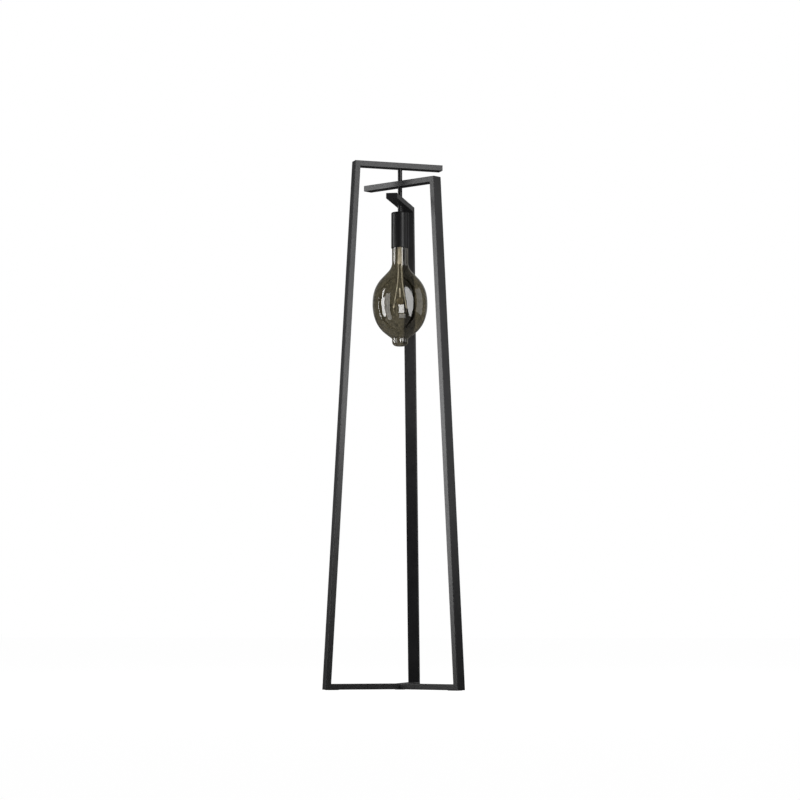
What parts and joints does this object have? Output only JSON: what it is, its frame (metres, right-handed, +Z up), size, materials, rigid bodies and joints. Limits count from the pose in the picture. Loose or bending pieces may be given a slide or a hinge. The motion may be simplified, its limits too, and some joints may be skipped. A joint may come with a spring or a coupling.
{
  "type": "floor lamp",
  "caption": "Tall floor lamp of flat tube frames set round one axis, their top bars crossing at stepped heights, with a large smoked globe bulb hung between them.",
  "frame": {"origin": "on the lamp's axis at floor level, where the centre pad rests", "axes": "+Z up along the axis of the pipe and bulb; +Y towards the rear leg, the one of the lowest frame; -Y is the front"},
  "size_m": [0.3778, 0.3275, 1.4],
  "materials": {
    "frame_steel": "black satin powder coat on rectangular steel tube",
    "cover_steel": "black satin powder coat on spun steel",
    "plated_steel": "bright zinc plating",
    "pad_rubber": "matt black",
    "holder_plastic": "moulded, matt",
    "terminal_plastic": "moulded, off-white",
    "flex_sheath": "extruded sheath",
    "contact_ceramic": "unglazed white",
    "contact_brass": "stamped, slightly tarnished",
    "cap_brass": "rolled thread, bright",
    "contact_solder": "dull solder",
    "insulator_glass": "black vitreous",
    "smoked_glass": "clear smoked, blown",
    "stem_glass": "clear",
    "lead_nickel": "drawn nickel wire"
  },
  "bodies": {
    "lamp": {"base_screws": "plated_steel", "base_spider": "plated_steel", "cable_gland": "pad_rubber", "centre_contact": "contact_brass", "centre_pad": "pad_rubber", "centre_pipe": "plated_steel", "contact_block": "contact_ceramic", "foot_pads": "pad_rubber", "holder_cover": "cover_steel", "internal_flex": "flex_sheath", "lampholder_cap": "holder_plastic", "lampholder_skirt": "holder_plastic", "lower_base_bar": "frame_steel", "lower_end_cap": "frame_steel", "lower_leg": "frame_steel", "lower_sleeve": "frame_steel", "lower_top_bar": "frame_steel", "middle_base_bar": "frame_steel", "middle_end_cap": "frame_steel", "middle_leg": "frame_steel", "middle_sleeve": "frame_steel", "middle_top_bar": "frame_steel", "screw_shell": "contact_brass", "terminal_block": "terminal_plastic", "terminal_screws": "contact_brass", "top_nut": "plated_steel", "upper_base_bar": "frame_steel", "upper_end_cap": "frame_steel", "upper_leg": "frame_steel", "upper_sleeve": "frame_steel", "upper_top_bar": "frame_steel"},
    "bulb_contact": {"bulb_centre_contact": "contact_solder"},
    "bulb": {"bulb_glass": "smoked_glass", "bulb_cap": "cap_brass", "bulb_insulator": "insulator_glass", "bulb_stem": "stem_glass", "stem_rod": "stem_glass", "stem_button": "lead_nickel", "lead_wires": "lead_nickel", "lead_tips": "lead_nickel", "filament": "lead_nickel", "filament_hooks": "lead_nickel"}
  },
  "joints": [
    {"name": "bulb_drop", "type": "slide", "parent": "lamp", "child": "bulb_contact", "axis": [0, 0, -1], "range_m": [0, 0.0128]},
    {"name": "bulb_turn", "type": "hinge", "parent": "bulb_contact", "child": "bulb", "pos_m": [0, 0, 1.2], "axis": [0, 0, -1], "range_deg": [0, 1260]}
  ],
  "couplings": [
    {"joint": "bulb_drop", "follows": "bulb_turn", "m_per_rad": 0.00057757}
  ]
}
